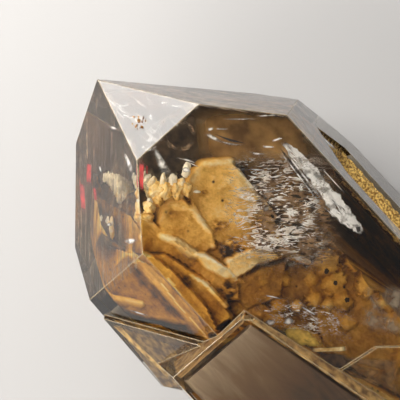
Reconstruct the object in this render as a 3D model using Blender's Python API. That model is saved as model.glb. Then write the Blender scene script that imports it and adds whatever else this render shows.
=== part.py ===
"""Hopper quartz: one smoky window crystal with a clay-filled hollow, lying on its back prism face.

Metres, +Z up. The crystal's long axis runs along X with the point towards -X, and the broad front prism
face looks up. The origin is on the resting face, under the middle of the crystal.

Every crystal face is given as a real crystal has it: the compass direction that it looks in around the long
axis, its slope from that axis, and its distance from the point. Direction 0 is the broad front face.
"""

from math import cos, radians, sin

import bmesh
import bpy
from mathutils import Vector

MM = 0.001

# Whole crystal
TIP_X = -48.157 * MM
TIP_Y = -5.934 * MM
REST_DEPTH = 30.0 * MM
STOCK = 400.0 * MM

# Faces of the point and the prism: direction and slope in degrees, distance from the tip in mm
FACES = {
    "tip_front": (0, 52.4, 0.0),
    "tip_left": (-60.5, 54.4, 0.0),
    "tip_right": (60, 52.6, 0.0),
    "tip_back_left": (-121.4, 47.0, 6.9),
    "tip_back_right": (122, 39.8, 0.7),
    "tip_back": (180, 51.8, 6.0),
    "tip_bruise": (-85.6, 23.8, 0.2),
    "prism_front": (0, 89.6, 10.5),
    "prism_left": (-60, 89.2, 16.3),
    "prism_right": (60, 90.0, 17.5),
    "prism_back_left": (-119.9, 86.2, 22.8),
    "prism_back_right": (119.6, 84.1, 36.9),
    "prism_back": (180, 90.0, 30.0),
    "steep_left": (-126.1, 69.4, 17.4),
    "steep_right": (102.2, 50.1, 5.4),
    "steeper_right": (109.8, 59.6, 14.8),
}

# Broken base: the same three numbers, with slopes past 90 degrees because the breaks look down the crystal
BREAKS = {
    "break_main": (20, 171, 92.0),
    "break_left": (-75, 150, 88.0),
    "break_front": (-20, 154, 88.5),
    "break_right": (95, 149, 92.0),
    "break_back": (165, 151, 91.5),
    "break_corner": (60, 128, 83.0),
}

# Small crystal grown on the front left edge, starting at a square shoulder
BUD_START = 37.9
BUD_SHOULDER = (-1.0, 0.02, 0.0)
BUD_FACES = {
    "bud_top": (-14, 90.0, 14.9),
    "bud_left": (-84, 89.6, 21.7),
    "bud_right_bevel": (40.7, 79.9, -2.6),
    "bud_right_wall": (88, 75.4, -17.3),
    "bud_corner": (53.1, 48.7, -24.9),
    "bud_under": (166, 90.0, 8.0),
    "bud_break": (-60, 160, 83.0),
}

# Worn edge under the small crystal: a slot cut along the left edge of the prism
EDGE_SLOT_CORNER = (41.5, -24.5, -8.7)
EDGE_SLOT_FRONT = (-0.76, 0.64, 0.0)
EDGE_SLOT_FLOOR = -20.2
EDGE_SLOT_REACH = 60.0

# Raised growth layers: thickness above the face and depth of the root below it, in mm, then their walls
LEFT_LAYER_RISE = 0.8
FRONT_LAYER_RISE = 0.7
LAYER_ROOT = 3.0
LEFT_LAYER_EDGES = {"edge_back": (-119.9, 86.2, 22.3), "edge_front": (0, 89.6, 10.1)}
LEFT_LAYER_WALL = ((27.6, -23.0, -6.3), (38.8, -14.1, 9.3))
LEFT_LAYER_END = 60.0
FRONT_LAYER_EDGES = {"edge_right": (60, 90.0, 16.9), "edge_left": (-60, 89.2, 15.9)}
FRONT_LAYER_WALLS = (
    ((47.2, -5.7, 11.0), (-0.72, 0.69, 0.0)),
    ((53.7, 1.0, 11.0), (-0.97, 0.24, 0.0)),
)

# Stepped hopper windows: face, start and end along the crystal, middle across the face, half width, in mm
WINDOWS = {
    "right": ("prism_right", 28.0, 80.0, 13.0, 9.5),
    "back_left": ("prism_back_left", 34.0, 80.0, -7.6, 6.4),
}
WINDOW_STEPS = 3
WINDOW_STEP_DEPTH = 1.3
WINDOW_STEP_INSET = 1.7
WINDOW_END_LEAN = 0.74
WINDOW_MOUTH = 2.0

# Clay in the hollow: how far it reaches towards each outer face, with the same gap to the quartz all round
CLAY_GAP = 0.3
CLAY_END = 84.0
CLAY_REACH = {
    "tip_front": (0, 52.4, -2.2),
    "tip_left": (-60.5, 54.4, -1.8),
    "tip_right": (60, 52.6, -2.5),
    "tip_back_left": (-121.4, 47.0, 0.0),
    "tip_back_right": (122, 39.8, -8.0),
    "tip_back": (180, 51.8, 3.0),
    "steep_left": (-126.1, 69.4, 14.6),
    "prism_front": (0, 89.6, 9.6),
    "prism_left": (-60, 89.2, 14.6),
    "prism_right": (60, 90.0, 9.0),
    "prism_back_left": (-119.9, 86.2, 17.6),
    "prism_back_right": (119.6, 84.1, 24.0),
    "prism_back": (180, 90.0, 23.0),
    "base_taper": (-119.9, 100.0, 33.6),
}

# Clay terraces: height of the top, its tilt along and across, lean of the walls, then the corners of the
# outline as places along and across. Heights and places are in mm from the tip, tilts in mm per mm.
STEEP = 0.14
SLOPING = 0.40
CLAY_FOOT = -40.0
TERRACE_FOOT = -15.0
TERRACE_FOOT_STEP = 0.15
CLAY_TERRACES = {
    "bed": (-12.5, 0.0, 0.0, STEEP, [(0, -30), (0, 30), (120, 30), (120, -30)]),
    "body": (-3.5, 0.0, 0.0, SLOPING, [(20.4, -9.4), (20.4, 30), (120, 30), (120, -9.4)]),
    "base_fill": (3.2, 0.0, 0.0, SLOPING, [(58, -9), (60, 8), (120, 8), (120, -9)]),
    "front_plate": (
        5.9, -0.03, 0.03, STEEP,
        [
            (19.8, -1.6), (20.2, 2.4), (23.7, 4.7), (35.8, 2.4),
            (34.5, -0.9), (32.9, -4.5), (29, -6.3), (22.7, -5.4),
        ],
    ),
    "small_plate": (
        6.5, -0.10, 0.12, STEEP,
        [(20.2, -6.6), (23.4, -3.6), (29.4, -5.4), (29, -8.6), (25.8, -10.6), (22.6, -9.4)],
    ),
    "spur": (
        5.6, -0.05, 0.25, STEEP, [(20.5, -10.4), (22.4, -9.4), (27.6, -11.4), (24, -12.4), (21.6, -12.4)]
    ),
    "crest": (6.2, -0.03, 0.04, STEEP, [(30.1, -6), (34.5, -0.9), (38.6, 2.7), (36, -2.4), (34.6, -6.1)]),
    "flap": (
        6.2, -0.10, 0.22, STEEP, [(24.2, -12.5), (25.6, -11), (32.4, -9.3), (37.9, -10.1), (37.5, -12.8)]
    ),
    "flap_rim": (
        7.6, -0.04, 0.25, STEEP, [(23.7, -13.4), (24.6, -12.2), (34.3, -11.6), (38.2, -12.8), (37, -13.6)]
    ),
    "left_wing": (
        1.6, 0.02, 1.73, STEEP,
        [(20.2, -15.9), (24.2, -12.5), (35, -13.5), (33.7, -14.6), (31.2, -16.9), (25.8, -19.5)],
    ),
    "left_shelf": (-2.8, 0.0, 1.73, STEEP, [(29, -21.5), (33, -16.5), (40, -13.5), (60, -13.5), (62, -21)]),
    "small_crystal_rib": (
        8.6, 0.0, 0.20, STEEP, [(37.6, -14), (40, -10), (41.6, -10.6), (40.6, -20), (38.6, -20)]
    ),
    "small_crystal_band": (9.3, 0.0, 0.0, STEEP, [(40.6, -9.4), (45.4, -6.5), (66, 0), (66, -5), (46, -8.4)]),
    "right_wing": (
        -0.4, 0.05, 0.10, STEEP, [(12.8, 6), (23.6, 17.4), (27.5, 15.5), (23.9, 10.4), (17.2, 3.4)]
    ),
    "brown_shelf": (
        4.6, 0.0, 0.0, STEEP, [(28.5, 5.4), (30.4, 10.6), (49.4, 12.8), (53.1, 9), (39.2, 2.1), (31.8, 1.7)]
    ),
    "lumpy_shelf": (4.2, 0.02, 0.0, STEEP, [(41, 2.5), (42, 9.8), (56, 12.5), (66, 8), (66, -2), (50, -3)]),
    "mid_shelf": (3.0, -0.02, 0.0, STEEP, [(44, -6.2), (44.6, -4.8), (70, 6), (74, -6), (52, -6.4)]),
    "mid_step": (4.6, -0.20, 0.10, STEEP, [(34.8, -5.9), (36.3, -2.2), (38, 0.6), (41, -3), (38.8, -7.6)]),
    "mid_low": (3.6, -0.10, 0.18, STEEP, [(38, -2.6), (39.5, 2.4), (46.4, 1.8), (45.5, -3), (41.5, -5)]),
    "mid_lowest": (3.0, -0.05, 0.10, STEEP, [(36, -9), (40, -5.6), (46, -4.6), (44.5, -8), (40, -9.8)]),
}


def clear_scene():
    for found in list(bpy.data.objects):
        bpy.data.objects.remove(found, do_unlink=True)


def tip():
    return Vector((TIP_X, TIP_Y, REST_DEPTH))


def face_normal(direction, slope):
    """Outward normal of a crystal face, for the point towards -X and the front face up."""
    turn = radians(direction)
    lean = radians(slope)
    return Vector((-cos(lean), sin(turn) * sin(lean), cos(turn) * sin(lean)))


def at(along, across, up):
    """World place of a point given in mm from the tip: down the axis, across it and up."""
    return tip() + Vector((along, across, up)) * MM


def slice_off(mesh, point, normal):
    """Keep the part of a closed mesh behind a plane, and close the cut."""
    everything = mesh.verts[:] + mesh.edges[:] + mesh.faces[:]
    cut = bmesh.ops.bisect_plane(
        mesh, geom=everything, plane_co=point, plane_no=normal, clear_outer=True, dist=1e-7
    )
    rim = [item for item in cut["geom_cut"] if isinstance(item, bmesh.types.BMEdge)]
    if rim:
        bmesh.ops.edgeloop_fill(mesh, edges=rim)


def faceted_solid(name, faces, extra_planes=(), growth=0.0):
    """A convex crystal shape: a stock block cut by every face in turn, all of them moved out by growth."""
    mesh = bmesh.new()
    bmesh.ops.create_cube(mesh, size=STOCK)
    for direction, slope, distance in faces.values():
        normal = face_normal(direction, slope)
        slice_off(mesh, tip() + normal * (distance + growth) * MM, normal)
    for point, normal in extra_planes:
        slice_off(mesh, point, normal)
    bmesh.ops.recalc_face_normals(mesh, faces=mesh.faces)
    data = bpy.data.meshes.new(name)
    mesh.to_mesh(data)
    mesh.free()
    solid = bpy.data.objects.new(name, data)
    bpy.context.scene.collection.objects.link(solid)
    return solid


def hide_as_tool(tool):
    tool.hide_render = True
    tool.display_type = "WIRE"


def combine(target, tool, operation):
    hide_as_tool(tool)
    step = target.modifiers.new(tool.name, "BOOLEAN")
    step.operation = operation
    step.solver = "EXACT"
    step.object = tool


def material(name, colour, roughness):
    made = bpy.data.materials.new(name)
    made.use_nodes = True
    shader = made.node_tree.nodes["Principled BSDF"]
    shader.inputs["Base Color"].default_value = (*colour, 1.0)
    shader.inputs["Roughness"].default_value = roughness
    shader.inputs["Metallic"].default_value = 0.0
    return made


def layer_on_left():
    """Raised layer on the lower left prism face, with one slanting wall."""
    direction, slope, distance = FACES["prism_left"]
    outward = face_normal(direction, slope)
    wall_start = at(*LEFT_LAYER_WALL[0])
    wall_end = at(*LEFT_LAYER_WALL[1])
    wall = outward.cross(wall_end - wall_start).normalized()
    if wall.x > 0:
        wall.negate()
    shell = {
        "outer": (direction, slope, distance + LEFT_LAYER_RISE),
        "root": (direction + 180, 180 - slope, LAYER_ROOT - distance),
        **LEFT_LAYER_EDGES,
    }
    planes = (
        (wall_start, wall),
        (at(LEFT_LAYER_END, 0.0, 0.0), Vector((1.0, 0.0, 0.0))),
    )
    return faceted_solid("layer_left", shell, planes)


def layer_on_front():
    """Raised layer on the front face beside the small crystal, with a bent wall towards the point."""
    direction, slope, distance = FACES["prism_front"]
    shell = {
        "outer": (direction, slope, distance + FRONT_LAYER_RISE),
        "root": (direction + 180, 180 - slope, LAYER_ROOT - distance),
        **FRONT_LAYER_EDGES,
    }
    planes = [(at(*point), Vector(normal).normalized()) for point, normal in FRONT_LAYER_WALLS]
    return faceted_solid("layer_front", shell, planes)


def edge_slot():
    """Cutter for the worn left edge: everything past its floor, behind a slanting front."""
    shell = {
        "floor": (90, 90.0, EDGE_SLOT_FLOOR),
        "outside": (-90, 90.0, EDGE_SLOT_REACH),
    }
    front = (at(*EDGE_SLOT_CORNER), Vector(EDGE_SLOT_FRONT).normalized())
    return faceted_solid("edge_slot", shell, (front,))


def window_step(name, place, step):
    """Cutter for one level of a stepped window: a six-sided well with pointed ends."""
    face, start, end, centre, half_width = place
    direction, slope, distance = FACES[face]
    outward = face_normal(direction, slope)
    axis = Vector((1.0, 0.0, 0.0))
    along = (axis - outward * axis.dot(outward)).normalized()
    sideways = outward.cross(along)
    inset = WINDOW_STEP_INSET * step
    depth = WINDOW_STEP_DEPTH * (step + 1)
    middle = tip() + (outward * distance + sideways * centre) * MM
    near = middle + along * (start + inset) * MM
    far = middle + along * (end - inset) * MM
    reach = (half_width - inset) * MM
    planes = (
        (near, (-along + sideways * WINDOW_END_LEAN).normalized()),
        (near, (-along - sideways * WINDOW_END_LEAN).normalized()),
        (far, (along + sideways * WINDOW_END_LEAN).normalized()),
        (far, (along - sideways * WINDOW_END_LEAN).normalized()),
        (middle + sideways * reach, sideways),
        (middle - sideways * reach, -sideways),
    )
    shell = {
        "mouth": (direction, slope, distance + WINDOW_MOUTH),
        "floor": (direction + 180, 180 - slope, depth - distance),
    }
    return faceted_solid(name, shell, planes)


def build_crystal():
    crystal = faceted_solid("quartz_crystal", FACES)
    combine(crystal, layer_on_left(), "UNION")
    combine(crystal, layer_on_front(), "UNION")
    combine(crystal, edge_slot(), "DIFFERENCE")
    shoulder = (at(BUD_START, 0.0, 0.0), Vector(BUD_SHOULDER).normalized())
    combine(crystal, faceted_solid("bud", BUD_FACES, (shoulder,)), "UNION")
    combine(crystal, faceted_solid("breaks", BREAKS), "INTERSECT")
    for side, place in WINDOWS.items():
        for step in range(WINDOW_STEPS):
            combine(crystal, window_step(f"window_{side}_{step}", place, step), "DIFFERENCE")
    combine(crystal, clay_form("pocket", CLAY_GAP), "DIFFERENCE")
    crystal.data.materials.append(material("smoky_quartz", (0.62, 0.47, 0.32), 0.02))
    return crystal


def clay_terrace(name, terrace, foot, growth):
    """One flat-topped block of clay with leaning walls, standing on a foot buried in the bed."""
    top, tilt_along, tilt_across, lean, corners = terrace
    middle_along = sum(along for along, _ in corners) / len(corners)
    middle_across = sum(across for _, across in corners) / len(corners)
    upward = Vector((-tilt_along, -tilt_across, 1.0)).normalized()
    rims = [
        at(along, across, top + tilt_along * (along - middle_along) + tilt_across * (across - middle_across))
        for along, across in corners
    ]
    middle = at(middle_along, middle_across, top)
    cuts = [(middle + upward * growth * MM, upward), (at(0.0, 0.0, foot), Vector((0.0, 0.0, -1.0)))]
    for start, end in zip(rims, rims[1:] + rims[:1]):
        outward = (end - start).cross(upward)
        outward.z = 0.0
        outward.normalize()
        if outward.dot(start - middle) < 0:
            outward.negate()
        wall = (outward + Vector((0.0, 0.0, lean))).normalized()
        cuts.append((start + wall * growth * MM, wall))
    return faceted_solid(name, {}, cuts)


def clay_form(name, growth, planes=()):
    """The whole terraced body of clay, moved out by growth and cut back to the reach of the clay."""
    names = list(CLAY_TERRACES)
    form = clay_terrace(name, CLAY_TERRACES[names[0]], CLAY_FOOT, growth)
    for number, terrace in enumerate(names[1:]):
        foot = TERRACE_FOOT - TERRACE_FOOT_STEP * number
        combine(form, clay_terrace(f"{name}_{terrace}", CLAY_TERRACES[terrace], foot, growth), "UNION")
    combine(form, faceted_solid(f"{name}_reach", CLAY_REACH, planes, growth), "INTERSECT")
    return form


def build_clay():
    end = (at(CLAY_END, 0.0, 0.0), Vector((1.0, 0.0, 0.0)))
    clay = clay_form("clay_filling", 0.0, (end,))
    clay.data.materials.append(material("ochre_clay", (0.52, 0.33, 0.13), 0.9))
    return clay


clear_scene()
build_crystal()
build_clay()
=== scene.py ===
from math import cos, radians, sin

import bpy
import numpy
from mathutils import Matrix, Vector, noise


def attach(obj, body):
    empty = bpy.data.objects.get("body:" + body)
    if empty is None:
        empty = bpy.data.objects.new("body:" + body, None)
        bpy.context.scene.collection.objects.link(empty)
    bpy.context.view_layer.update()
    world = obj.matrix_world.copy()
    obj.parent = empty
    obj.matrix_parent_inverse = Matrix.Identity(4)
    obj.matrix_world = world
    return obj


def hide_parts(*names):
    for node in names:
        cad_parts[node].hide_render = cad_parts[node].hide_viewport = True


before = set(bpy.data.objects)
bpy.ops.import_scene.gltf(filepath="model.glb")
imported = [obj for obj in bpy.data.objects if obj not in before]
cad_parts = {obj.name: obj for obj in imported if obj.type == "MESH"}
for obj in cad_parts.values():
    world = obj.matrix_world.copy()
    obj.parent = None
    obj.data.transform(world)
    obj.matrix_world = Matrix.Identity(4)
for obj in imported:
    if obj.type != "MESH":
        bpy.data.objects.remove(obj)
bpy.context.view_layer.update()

# Quartz crystal: one clear, smoky crystal with a sharp point, broken off at its base, lying on a prism face.
# It is natural quartz, grown in one piece with the stepped windows in its sides and the small crystal on its
# front edge. Each face is cut from a block: the way it looks round the axis, its slope, its distance in mm.
TIP = Vector((-0.048157, -0.005934, 0.030))
MM = 0.001
BLOCK_SIZE = 0.4
SAME_POINT = 1e-7
AWAY_FROM_TIP = Vector((1.0, 0.0, 0.0))


def facing(direction, slope):
    """The way out of a crystal face: how far round the axis it looks and how steep it is, in degrees."""
    turn = radians(direction)
    lean = radians(slope)
    return Vector((-cos(lean), sin(turn) * sin(lean), cos(turn) * sin(lean)))


def inside(along, across, up):
    """A place in the crystal, in mm from its point."""
    return TIP + Vector((along, across, up)) * MM


def select_only(*pieces):
    bpy.ops.object.select_all(action="DESELECT")
    for piece in pieces:
        piece.select_set(True)
    bpy.context.view_layer.objects.active = pieces[0]


def cut_stone(name, faces, planes=()):
    """A block cut by crystal faces, then by other planes given as a place and a direction."""
    bpy.ops.object.select_all(action="DESELECT")
    bpy.ops.mesh.primitive_cube_add(size=BLOCK_SIZE)
    stone = bpy.context.object
    stone.name = name
    cuts = [(TIP + facing(turn, slope) * away * MM, facing(turn, slope)) for turn, slope, away in faces]
    bpy.ops.object.mode_set(mode="EDIT")
    for place, outward in cuts + list(planes):
        bpy.ops.mesh.select_all(action="SELECT")
        bpy.ops.mesh.bisect(
            plane_co=place, plane_no=outward, use_fill=True, clear_outer=True, threshold=SAME_POINT
        )
    bpy.ops.mesh.select_all(action="SELECT")
    bpy.ops.mesh.normals_make_consistent(inside=False)
    bpy.ops.object.mode_set(mode="OBJECT")
    return stone


def join_stone(stone, other, operation):
    step = stone.modifiers.new("join", "BOOLEAN")
    step.operation = operation
    step.solver = "EXACT"
    step.object = other
    select_only(stone)
    bpy.ops.object.modifier_apply(modifier="join")
    bpy.data.objects.remove(other, do_unlink=True)


OUTER_FACES = [
    (0, 52.4, 0.0),
    (-60.5, 54.4, 0.0),
    (60, 52.6, 0.0),
    (-121.4, 47.0, 6.9),
    (122, 39.8, 0.7),
    (180, 51.8, 6.0),
    (-85.6, 23.8, 0.2),
    (0, 89.6, 10.5),
    (-60, 89.2, 16.3),
    (60, 90.0, 17.5),
    (-119.9, 86.2, 22.8),
    (119.6, 84.1, 36.9),
    (180, 90.0, 30.0),
    (-126.1, 69.4, 17.4),
    (102.2, 50.1, 5.4),
    (109.8, 59.6, 14.8),
]
quartz = cut_stone("smoky_quartz_crystal", OUTER_FACES)

# A growth layer stands up from the left face and another from the front face. The left edge has a worn slot.
LEFT_LAYER_EDGE = Vector((11.2, 8.9, 15.6))
left_wall = facing(-60, 89.2).cross(LEFT_LAYER_EDGE).normalized()
left_layer = cut_stone(
    "left_layer",
    [(-60, 89.2, 17.1), (120, 90.8, -13.3), (-119.9, 86.2, 22.3), (0, 89.6, 10.1)],
    [(inside(27.6, -23.0, -6.3), left_wall), (inside(60.0, 0.0, 0.0), AWAY_FROM_TIP)],
)
join_stone(quartz, left_layer, "UNION")

front_layer = cut_stone(
    "front_layer",
    [(0, 89.6, 11.2), (180, 90.4, -7.5), (60, 90.0, 16.9), (-60, 89.2, 15.9)],
    [
        (inside(47.2, -5.7, 11.0), Vector((-0.72, 0.69, 0.0)).normalized()),
        (inside(53.7, 1.0, 11.0), Vector((-0.97, 0.24, 0.0)).normalized()),
    ],
)
join_stone(quartz, front_layer, "UNION")

worn_edge = cut_stone(
    "worn_edge",
    [(90, 90.0, -20.2), (-90, 90.0, 60.0)],
    [(inside(41.5, -24.5, -8.7), Vector((-0.76, 0.64, 0.0)).normalized())],
)
join_stone(quartz, worn_edge, "DIFFERENCE")

# The small crystal on the front edge, then the breaks of the base.
bud = cut_stone(
    "bud",
    [
        (-14, 90.0, 14.9),
        (-84, 89.6, 21.7),
        (40.7, 79.9, -2.6),
        (88, 75.4, -17.3),
        (53.1, 48.7, -24.9),
        (166, 90.0, 8.0),
        (-60, 160, 83.0),
    ],
    [(inside(37.9, 0.0, 0.0), Vector((-1.0, 0.02, 0.0)).normalized())],
)
join_stone(quartz, bud, "UNION")

base = cut_stone(
    "base",
    [(20, 171, 92.0), (-75, 150, 88.0), (-20, 154, 88.5), (95, 149, 92.0), (165, 151, 91.5), (60, 128, 83.0)],
)
join_stone(quartz, base, "INTERSECT")

# Stepped windows, in the right face and the back left one: the face, the window's start and end along the
# crystal, its middle across the face and its half width. Each step goes deeper and is smaller all round.
RIGHT_WINDOW = (60, 90.0, 17.5, 28.0, 80.0, 13.0, 9.5)
BACK_LEFT_WINDOW = (-119.9, 86.2, 22.8, 34.0, 80.0, -7.6, 6.4)
WINDOW_STEPS = 3
STEP_DEPTH = 1.3
STEP_INSET = 1.7
WINDOW_LEAN = 0.74
for direction, slope, away, start, end, middle, half in (RIGHT_WINDOW, BACK_LEFT_WINDOW):
    outward = facing(direction, slope)
    along = (AWAY_FROM_TIP - outward * outward.x).normalized()
    sideways = outward.cross(along)
    centre = TIP + (outward * away + sideways * middle) * MM
    lean = sideways * WINDOW_LEAN
    for level in range(WINDOW_STEPS):
        near = centre + along * (start + STEP_INSET * level) * MM
        far = centre + along * (end - STEP_INSET * level) * MM
        reach = (half - STEP_INSET * level) * MM
        window_step = cut_stone(
            "window_step",
            [(direction, slope, away + 2.0), (direction + 180, 180 - slope, STEP_DEPTH * (level + 1) - away)],
            [
                (near, (-along + lean).normalized()),
                (near, (-along - lean).normalized()),
                (far, (along + lean).normalized()),
                (far, (along - lean).normalized()),
                (centre + sideways * reach, sideways),
                (centre - sideways * reach, -sideways),
            ],
        )
        join_stone(quartz, window_step, "DIFFERENCE")

# The mouth of the hollow, open at the broken base.
mouth = cut_stone(
    "mouth",
    [
        (0, 90.0, 3.5),
        (180, 90.0, 23.3),
        (60, 90.0, 9.3),
        (-60, 90.0, 8.6),
        (119.6, 84.1, 24.3),
        (-119.9, 100.0, 33.9),
        (-119.9, 86.2, 17.9),
    ],
    [(inside(83.9, 0.0, 0.0), -AWAY_FROM_TIP)],
)
join_stone(quartz, mouth, "DIFFERENCE")

# The crystal's edges are worn: a narrow golden bevel that scatters the light.
quartz.data.materials.clear()
smoky = bpy.data.materials.new("smoky_quartz_clear")
worn = bpy.data.materials.new("smoky_quartz_worn_edge")
quartz.data.materials.append(smoky)
quartz.data.materials.append(worn)
edges = quartz.modifiers.new("worn edges", "BEVEL")
edges.width = 0.09 * MM
edges.segments = 2
edges.limit_method = "ANGLE"
edges.angle_limit = radians(12)
edges.material = 1
bpy.ops.object.modifier_apply(modifier="worn edges")


def set_inputs(tree, node, values):
    """An output of another node is linked to the input, and any other value is set on it."""
    for socket, value in values.items():
        if isinstance(value, bpy.types.NodeSocket):
            tree.links.new(value, node.inputs[socket])
        else:
            node.inputs[socket].default_value = value


def add_node(tree, kind, values=None, **settings):
    node = tree.nodes.new("ShaderNode" + kind)
    for setting, value in settings.items():
        setattr(node, setting, value)
    set_inputs(tree, node, values or {})
    return node


QUARTZ_IOR = 1.544
SMOKE_COLOUR = (0.58, 0.45, 0.17, 1.0)
SMOKE_DENSITY = 52.0
for finish, tint, roughness, clear in (
    (smoky, (1.0, 1.0, 1.0, 1.0), 0.012, 1.0),
    (worn, (0.92, 0.72, 0.42, 1.0), 0.22, 0.75),
):
    finish.use_nodes = True
    tree = finish.node_tree
    set_inputs(tree, tree.nodes["Principled BSDF"], {
        "Base Color": tint, "Roughness": roughness, "IOR": QUARTZ_IOR, "Transmission Weight": clear,
    })
    smoke = add_node(tree, "VolumeAbsorption", {"Color": SMOKE_COLOUR, "Density": SMOKE_DENSITY})
    tree.links.new(smoke.outputs["Volume"], tree.nodes["Material Output"].inputs["Volume"])
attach(quartz, "root")
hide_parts("quartz_crystal")

# Clay heart: ochre clay that settled on the steps of the hollow crystal, in plates with the crystal's angles.
# It is soft iron-stained clay, and clear quartz encloses it. Its paleness carries a painted highlight on the
# ridges and painted shade in the hollows and on the falling rims. Each plate: its outline, height, tilt along
# and across, how pale and how dull it is, how steeply its rim falls, which also sets how dark the rim is
# painted.
CLAY_PLATES = [
    ([(38.0, -9.6), (37.0, -2.0), (41.0, 2.0), (60.0, 6.0), (60.0, -6.4), (44.0, -9.0)],
     3.2, 0.0, 0.0, 0.27, 0.0, 4.0),
    ([(21.2, -6.4), (22.4, -2.8), (29.3, 4.3), (34.8, 3.0), (35.6, -1.7), (29.6, -8.0), (23.9, -9.3)],
     4.9, 0.0, 0.0, 0.52, 0.0, 7.0),
    ([(19.3, -9.5), (35.1, -6.0), (37.1, -7.6), (33.7, -11.1), (24.8, -13.0), (22.7, -12.9)],
     5.3, -0.02, 0.05, 0.50, 0.0, 7.0),
    ([(20.4, -1.4), (19.9, 0.2), (20.1, 1.8), (20.7, 3.2), (22.0, 4.4), (23.6, 4.8), (25.0, 4.5), (31.5, 4.2),
      (32.7, 3.8), (34.1, 2.8), (33.9, -0.3), (32.1, -2.9), (28.7, -4.5), (25.3, -4.1), (22.2, -3.1)],
     5.9, -0.03, 0.03, 0.60, 0.0, 5.0),
    ([(20.9, -6.7), (20.7, -5.2), (21.6, -3.9), (23.7, -3.7), (27.6, -4.3), (29.1, -5.1), (29.0, -6.7),
      (26.7, -8.3), (23.8, -9.3), (21.8, -8.4)], 6.0, -0.06, 0.12, 0.52, 0.0, 4.0),
    ([(25.0, -8.9), (25.0, -8.1), (28.1, -7.4), (28.8, -8.0), (27.9, -8.7)],
     6.3, -0.02, 0.10, 0.66, 0.42, 2.5),
    ([(28.6, -7.9), (29.4, -7.0), (31.2, -6.5), (34.6, -6.0), (33.4, -7.0), (30.6, -8.0)],
     6.6, -0.05, 0.10, 0.66, 0.0, 3.0),
    ([(32.2, -5.0), (32.5, -3.7), (33.3, -2.1), (35.6, -2.0), (34.9, -4.3), (34.7, -6.0), (32.9, -6.0)],
     6.4, -0.06, 0.04, 0.70, 0.0, 5.0),
    ([(33.3, -2.1), (34.3, -0.8), (36.3, 0.9), (38.0, 2.2), (36.5, -0.1), (35.6, -2.0)],
     6.4, -0.06, 0.04, 0.66, 0.0, 5.0),
    ([(34.8, -5.9), (36.3, -2.2), (38.0, 0.6), (41.0, -3.0), (38.8, -7.6), (36.5, -7.6)],
     4.8, -0.20, 0.10, 0.36, 0.1, 3.0),
    ([(38.0, -2.6), (39.5, 2.4), (46.4, 1.8), (45.5, -3.0), (41.5, -5.0)], 3.6, -0.10, 0.18, 0.32, 0.2, 3.0),
    ([(36.0, -9.0), (40.0, -5.6), (46.0, -4.6), (44.5, -8.0), (40.0, -9.8)],
     3.6, -0.05, 0.10, 0.40, 0.0, 3.0),
    ([(24.2, -12.5), (25.6, -11.0), (28.5, -10.1), (32.4, -9.3), (35.2, -9.5), (37.9, -10.1), (37.5, -12.8),
      (30.3, -12.6)], 6.2, -0.10, 0.22, 0.42, 0.0, 3.0),
    ([(23.7, -13.4), (24.6, -12.2), (28.8, -11.6), (34.3, -11.6), (38.2, -12.8), (37.0, -13.6)],
     7.2, -0.04, 0.25, 0.38, 0.0, 7.0),
    ([(20.2, -15.9), (24.2, -12.5), (35.0, -13.5), (33.7, -14.6), (31.2, -16.9), (25.8, -19.5)],
     1.6, 0.02, 1.73, 0.31, 0.0, 3.0),
    ([(29.0, -21.5), (33.0, -16.5), (40.0, -13.5), (60.0, -13.5), (62.0, -21.0), (42.0, -21.4)],
     -2.8, 0.0, 1.73, 0.24, 0.0, 3.0),
    ([(40.6, -9.4), (45.4, -6.5), (58.5, -2.4), (66.0, 0.0), (66.0, -5.0), (46.0, -8.4)],
     9.3, 0.0, 0.0, 0.62, 0.0, 7.0),
    ([(37.6, -14.0), (40.0, -10.0), (41.6, -10.6), (40.6, -20.0), (38.6, -20.0)],
     8.6, 0.0, 0.20, 0.50, 0.0, 7.0),
    ([(12.8, 6.0), (23.6, 17.4), (27.5, 15.5), (23.9, 10.4), (20.7, 5.9), (17.2, 3.4)],
     -0.4, 0.05, 0.10, 0.33, 0.25, 3.0),
    ([(28.5, 5.4), (30.4, 10.6), (40.3, 10.2), (49.4, 12.8), (53.1, 9.0), (42.0, 7.5), (39.2, 2.1),
      (31.8, 1.7)], 4.6, 0.0, 0.0, 0.40, 0.60, 4.0),
    ([(41.0, 2.5), (42.0, 9.8), (56.0, 12.5), (66.0, 8.0), (66.0, -2.0), (50.0, -3.0)],
     4.2, 0.02, 0.0, 0.42, 0.1, 4.0),
    ([(44.0, -6.2), (44.6, -4.8), (52.0, -1.2), (70.0, 6.0), (74.0, -6.0), (52.0, -6.4)],
     3.4, -0.02, 0.0, 0.45, 0.0, 3.0),
    ([(58.0, -9.0), (60.0, 8.0), (90.0, 8.0), (90.0, -9.0)], 3.2, 0.0, 0.0, 0.40, 0.0, 4.0),
]
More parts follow.
